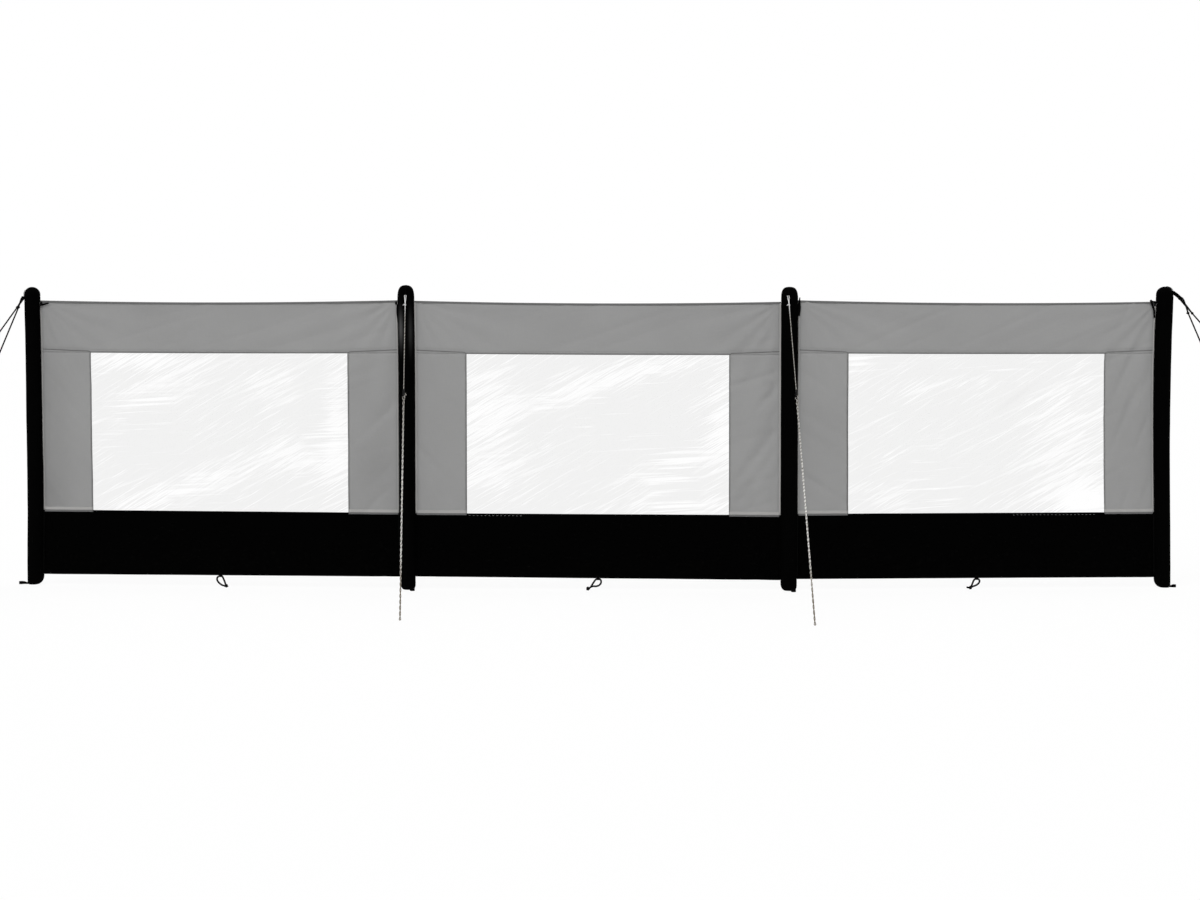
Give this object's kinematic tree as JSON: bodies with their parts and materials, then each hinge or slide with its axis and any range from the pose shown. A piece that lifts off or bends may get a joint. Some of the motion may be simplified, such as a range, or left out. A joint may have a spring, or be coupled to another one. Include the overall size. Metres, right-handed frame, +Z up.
{
  "type": "beach windbreak",
  "caption": "Beach windbreak with grey and black cloth bays, clear windows, inflated black posts and guy lines.",
  "frame": {"origin": "centre of the left end post's flat foot, on the ground", "axes": "+X from the left end post to the right end post, +Y to the back of the screen, +Z up"},
  "size_m": [7.1972, 2.1163, 1.311],
  "materials": {
    "sleeve_black": "matt woven sleeve",
    "cloth_grey": "matt woven polyester",
    "cloth_black": "matt woven polyester",
    "film_clear": "clear flexible film",
    "rope": "braided rope with dark flecks",
    "webbing_black": "woven webbing",
    "plastic_black": "satin moulded",
    "cord_black": "braided cord"
  },
  "bodies": {
    "root": {"left_end_post": "sleeve_black", "left_inner_post": "sleeve_black", "right_inner_post": "sleeve_black", "right_end_post": "sleeve_black", "left_bay_top_band": "cloth_grey", "left_bay_left_side": "cloth_grey", "left_bay_right_side": "cloth_grey", "left_bay_window": "film_clear", "left_bay_skirt": "cloth_black", "middle_bay_top_band": "cloth_grey", "middle_bay_left_side": "cloth_grey", "middle_bay_right_side": "cloth_grey", "middle_bay_window": "film_clear", "middle_bay_skirt": "cloth_black", "right_bay_top_band": "cloth_grey", "right_bay_left_side": "cloth_grey", "right_bay_right_side": "cloth_grey", "right_bay_window": "film_clear", "right_bay_skirt": "cloth_black", "left_end_front_guy": "rope", "left_end_rear_guy": "rope", "left_inner_front_guy": "rope", "left_inner_rear_guy": "rope", "right_inner_front_guy": "rope", "right_inner_rear_guy": "rope", "right_end_front_guy": "rope", "right_end_rear_guy": "rope", "guy_straps": "webbing_black", "guy_runners": "plastic_black", "foot_peg_eyes": "webbing_black", "zip_pulls": "plastic_black", "air_valves": "plastic_black", "peg_loop_tabs": "webbing_black", "left_peg_loop": "cord_black", "middle_peg_loop": "cord_black", "right_peg_loop": "cord_black", "peg_loop_knots": "cord_black"}
  },
  "joints": []
}
